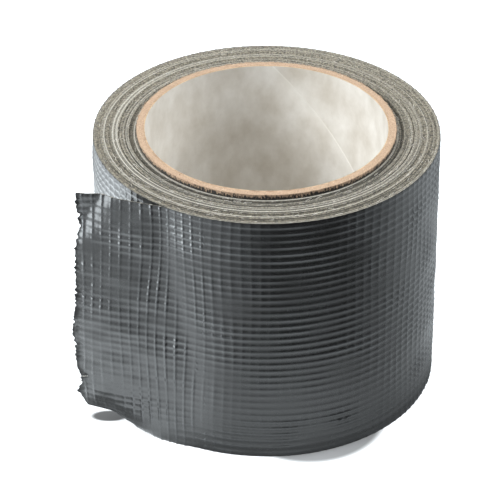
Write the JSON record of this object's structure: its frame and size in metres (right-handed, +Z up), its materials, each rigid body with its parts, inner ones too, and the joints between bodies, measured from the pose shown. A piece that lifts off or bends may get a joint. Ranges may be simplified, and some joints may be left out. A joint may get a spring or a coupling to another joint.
{
  "type": "duct tape roll",
  "caption": "Wide cloth-backed adhesive tape wound on a spiral paper core, standing upright, with its torn free end peeled off the roll.",
  "frame": {"origin": "on the axis of the core's bore, at the face that the roll stands on", "axes": "+Z up along the bore; the free end of the tape points towards -X and leaves the roll on its -Y side"},
  "size_m": [0.1138, 0.1087, 0.088],
  "materials": {
    "core_liner_paper": "matt, lightly calendered",
    "kraft_board": "matt, sawn edge",
    "wound_tape_edge": "matt, slit edges of many laps",
    "tape_film": "satin film, embossed by the yarns below",
    "tape_scrim": "matt yarn",
    "tape_adhesive": "tacky, semi-gloss"
  },
  "bodies": {
    "roll": {"core_kraft_ply_1": "kraft_board", "core_kraft_ply_2": "kraft_board", "core_kraft_ply_3": "kraft_board", "core_kraft_ply_4": "kraft_board", "core_kraft_ply_5": "kraft_board", "core_liner": "core_liner_paper", "wound_laps_01_04": "wound_tape_edge", "wound_laps_05_08": "wound_tape_edge", "wound_laps_09_12": "wound_tape_edge", "wound_laps_13_24": "wound_tape_edge", "wound_laps_25_33": "wound_tape_edge", "wound_laps_34_38": "wound_tape_edge", "wound_laps_39_48": "wound_tape_edge", "wound_laps_49_60": "wound_tape_edge", "wound_laps_61_71": "wound_tape_edge", "wound_laps_72_80": "wound_tape_edge", "outer_lap_adhesive": "tape_adhesive", "outer_lap_film": "tape_film", "outer_lap_scrim": "tape_scrim"},
    "tail_root": {"tail_root_adhesive": "tape_adhesive", "tail_root_film": "tape_film", "tail_root_scrim": "tape_scrim"},
    "tail_tip": {"tail_tip_adhesive": "tape_adhesive", "tail_tip_film": "tape_film", "tail_tip_scrim": "tape_scrim"}
  },
  "joints": [
    {"name": "tail_peel", "type": "hinge", "parent": "roll", "child": "tail_root", "pos_m": [-0.03004, -0.04538, 0], "axis": [0, 0, 1], "range_deg": [-10, 90]},
    {"name": "tail_bend", "type": "hinge", "parent": "tail_root", "child": "tail_tip", "pos_m": [-0.04256, -0.04191, 0], "axis": [0, 0, 1], "range_deg": [-25, 60]}
  ]
}
